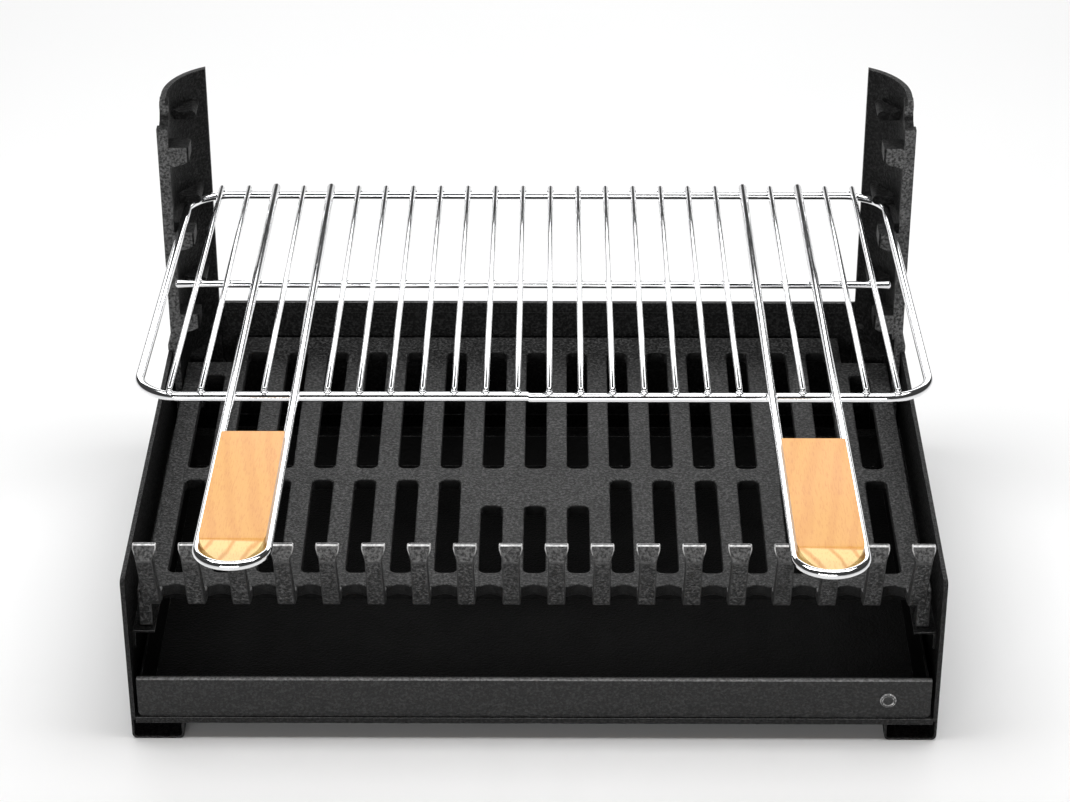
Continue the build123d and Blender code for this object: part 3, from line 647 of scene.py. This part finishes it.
def build_grate():
    plate = build_plate()
    build_fingers()
    build_rib()
    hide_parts("fire_grate")


build_grate()


# ------------------------------------------------------------------ casing

# Painted sheets, and the radius of their edges in millimetres.
SHEETS = (("side_panel_left", 0.6), ("side_panel_right", 0.6), ("back_panel", 0.6), ("floor_panel", 0.5),
          ("grate_rail_left", 0.4), ("grate_rail_right", 0.4))

STUD_SEAT = FRONT + 1.2 * MM


def paint_node(name, material):
    """Gives a CAD node that stays in view its finish."""
    mesh = frame["nodes"][name].data
    mesh.materials.clear()
    mesh.materials.append(material)


def build_stud():
    """Domed stud on the tray's lip with a rolled rim round a shallow dish."""
    low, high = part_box("lip_stud")
    radius = (high.x - low.x) / 2
    centre = Vector(((low.x + high.x) / 2, STUD_SEAT, (low.z + high.z) / 2))
    # Share of the radius, and how far out in millimetres.
    profile = ((1.0, -0.6), (1.0, 0.5), (0.95, 1.2), (0.84, 1.6), (0.74, 1.4), (0.66, 0.9), (0.45, 0.8),
               (0.2, 0.95), (0.05, 1.0))
    form = bmesh.new()
    sections = []
    for share, out in profile:
        ring = [Vector((x, -out * MM, z)) for x, z in arc((0, 0), radius * share, 0, 350, 35)]
        sections.append([centre + corner for corner in ring])
    loft(form, sections)
    stud = place_piece("lip_stud_look", finish_form(form, "lip_stud_look"), "tray", [STUD])
    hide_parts("lip_stud")


for sheet, edge in SHEETS:
    softened(sheet, "casing", [PAINT, PAINT_EDGE], edge * MM)
softened("ash_tray", "tray", [TRAY_PAINT, PAINT_EDGE], 0.6 * MM)
softened("upright_left", "casing", [FRONT_LIT_UPRIGHT_IRON, IRON_EDGE], 1.0 * MM)
softened("upright_right", "casing", [FRONT_LIT_UPRIGHT_IRON, IRON_EDGE], 1.0 * MM)
build_stud()
for fastener in ("back_rivets", "floor_rivets", "rail_rivets", "upright_bolts"):
    paint_node(fastener, RIVET)


# ------------------------------------------------------------------ cooking grill

# Rim, and the butt joint in its front bar.
RIM_HALF = 268 * MM
RIM_LENGTH = 363 * MM
RIM_CORNER = 32 * MM
RIM_CORNER_STEPS = 14
SEAM_X = -3.4 * MM
SEAM_STEP = 0.5 * MM

# Long wires, counted from the left; four of them are the legs of the two handle loops. They lie on the
# rim and stand out past it by the tail at the rear and, the thin ones, by the nose at the front.
WIRES = 24
WIRE_PITCH = 21.25 * MM
HANDLE_WIRES = ((2, 4), (19, 21))
HANDLE_LEGS = [index for pair in HANDLE_WIRES for index in pair]
THIN_WIRES = [index for index in range(WIRES) if index not in HANDLE_LEGS]
HANDLE_REACH = (610.5 * MM, 619.5 * MM)
HANDLE_HEIGHT = RIM_R + HANDLE_R
HANDLE_BEND_STEPS = 24
TAIL = 3.5 * MM
NOSE = 1.5 * MM

# Crossbar under the long wires, a little off the middle.
CROSSBAR_OUT = 174.5 * MM
CROSSBAR_SHIFT = -1.8 * MM
CROSSBAR_HALF = 259.5 * MM

# Weld beads: radius, half the height, and how far their middle lies above the rim's top.
WELD_R = 2.7 * MM
WELD_HALF_HEIGHT = 1.3 * MM
WELD_LIFT = 0.1 * MM


def wire_x(index):
    """Middle of a long wire."""
    return (index - (WIRES - 1) / 2) * WIRE_PITCH


def chrome_wire(name, path, radius, node, closed=False):
    """Chromed wire that stands for a CAD node."""
    form = bmesh.new()
    add_tube(form, path, radius, closed)
    piece = place_piece(name, finish_form(form, name), "grill", [CHROME])
    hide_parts(node)


def rim_path():
    """Closed rim, whose two ends meet with a small step in the front bar."""
    r = RIM_CORNER
    steps = RIM_CORNER_STEPS
    rear = arc((RIM_HALF - r, -r), r, 0, 90, steps) + arc((-RIM_HALF + r, -r), r, 90, 180, steps)
    left = arc((-RIM_HALF + r, -RIM_LENGTH + r), r, 180, 270, steps)
    right = arc((RIM_HALF - r, -RIM_LENGTH + r), r, 270, 360, steps)
    seam = [on_grill(SEAM_X - SEAM_STEP, RIM_LENGTH, SEAM_STEP),
            on_grill(SEAM_X + SEAM_STEP, RIM_LENGTH, -SEAM_STEP)]
    return [on_grill(x, -y) for x, y in rear + left] + seam + [on_grill(x, -y) for x, y in right]


def straight_path(index):
    """Thin wire from its tail behind the rear bar to its nose past the front bar."""
    x = wire_x(index)
    height = RIM_R + WIRE_R
    return [on_grill(x, WIRE_R - TAIL, height), on_grill(x, RIM_LENGTH + NOSE - WIRE_R, height)]


def crossbar_path():
    """Bar whose top is level with the rim's; the domed ends of the tube reach past this path."""
    height = RIM_R - CROSSBAR_R
    end = CROSSBAR_HALF - CROSSBAR_R * DOME
    return [on_grill(CROSSBAR_SHIFT - end, CROSSBAR_OUT, height),
            on_grill(CROSSBAR_SHIFT + end, CROSSBAR_OUT, height)]


def handle_path(pair, reach):
    """Loop out along one leg, round the end of the grip and back along the other."""
    left = wire_x(pair[0])
    right = wire_x(pair[1])
    radius = (right - left) / 2
    middle = (left + right) / 2
    bend = arc((middle, reach - radius), radius, 180, 0, HANDLE_BEND_STEPS)
    rear = HANDLE_R - TAIL
    return [on_grill(x, out, HANDLE_HEIGHT) for x, out in [(left, rear), *bend, (right, rear)]]


def build_welds():
    """Flat weld beads where the long wires cross the rear bar, the crossbar and the front bar."""
    form = bmesh.new()
    size = Matrix.Diagonal((WELD_R, WELD_R, WELD_HALF_HEIGHT, 1))
    for index in range(WIRES):
        for out in (0, CROSSBAR_OUT, RIM_LENGTH):
            spot = Matrix.Translation(on_grill(wire_x(index), out, RIM_R + WELD_LIFT))
            bmesh.ops.create_icosphere(form, subdivisions=2, radius=1, matrix=spot @ size)
    place_piece("grill_welds", finish_form(form, "grill_welds"), "grill", [CHROME])


def build_grill():
    chrome_wire("grill_rim_wire", rim_path(), RIM_R, "grill_rim", closed=True)
    chrome_wire("grill_cross_wire", crossbar_path(), CROSSBAR_R, "grill_crossbar")
    for number, index in enumerate(THIN_WIRES, start=1):
        chrome_wire(f"grill_long_wire_{number:02d}", straight_path(index), WIRE_R,
                    f"grill_wire_{number:02d}")
    for side, pair, reach in zip(("left", "right"), HANDLE_WIRES, HANDLE_REACH):
        chrome_wire(f"handle_wire_{side}", handle_path(pair, reach), HANDLE_R, f"handle_loop_{side}")
        softened(f"handle_grip_{side}", "grill", [WOOD, WOOD_EDGE], 1.0 * MM, 3)
    build_welds()


build_grill()


# ------------------------------------------------------------------ stage

FLOOR_HALF = 6


def build_stage():
    """Plain pale floor, far wider than the object."""
    form = bmesh.new()
    bmesh.ops.create_grid(form, x_segments=8, y_segments=8, size=FLOOR_HALF)
    floor_mesh = bpy.data.meshes.new("floor")
    form.to_mesh(floor_mesh)
    form.free()
    floor = bpy.data.objects.new("floor", floor_mesh)
    floor.data.materials.append(pale_floor("pale_floor"))
    bpy.context.scene.collection.objects.link(floor)


def area_light(name, place, target, size, power):
    """Rectangular soft light that looks at its target; size in metres, power in watts."""
    light = bpy.data.lights.new(name, "AREA")
    light.shape = "RECTANGLE"
    light.size = size[0]
    light.size_y = size[1]
    light.energy = power
    lamp = bpy.data.objects.new(name, light)
    bpy.context.scene.collection.objects.link(lamp)
    lamp.location = place
    lamp.rotation_euler = (Vector(target) - Vector(place)).to_track_quat("-Z", "Y").to_euler()


def build_lights():
    """Large soft lights above, behind and low in front, and a faint even sky."""
    world = bpy.data.worlds.new("studio")
    bpy.context.scene.world = world
    world.use_nodes = True
    sky = world.node_tree.nodes["Background"]
    sky.inputs["Color"].default_value = (1, 1, 1, 1)
    sky.inputs["Strength"].default_value = 0.05
    area_light("overhead", place=(0, 0.1, 1.9), target=(0, 0.05, 0), size=(2.6, 1.0), power=47)
    area_light("back", place=(0, 2.4, 1.1), target=(0, 0, 0.1), size=(3.4, 1.3), power=34)
    area_light("front", place=(-0.3, -2.4, 0.55), target=(0, 0, 0.15), size=(2.0, 0.5), power=26)


def build_camera():
    """Long-lens view from in front, looking down on the object; angles in degrees."""
    tilt_down, pan, roll = 31.06, 0.44, -0.12
    data = bpy.data.cameras.new("camera")
    data.sensor_fit = "HORIZONTAL"
    data.sensor_width = 36.0
    data.lens = 104.8
    data.clip_start = 0.1
    data.clip_end = 50
    camera = bpy.data.objects.new("camera", data)
    bpy.context.scene.collection.objects.link(camera)
    camera.location = (0.0148, FRONT - 1.7696, 1.3458)
    aim = Matrix.Rotation(radians(pan), 4, "Z") @ Matrix.Rotation(radians(90 - tilt_down), 4, "X")
    camera.rotation_euler = (aim @ Matrix.Rotation(radians(roll), 4, "Z")).to_euler()
    bpy.context.scene.camera = camera


build_stage()
build_lights()
build_camera()
bpy.context.scene.view_settings.view_transform = "Standard"
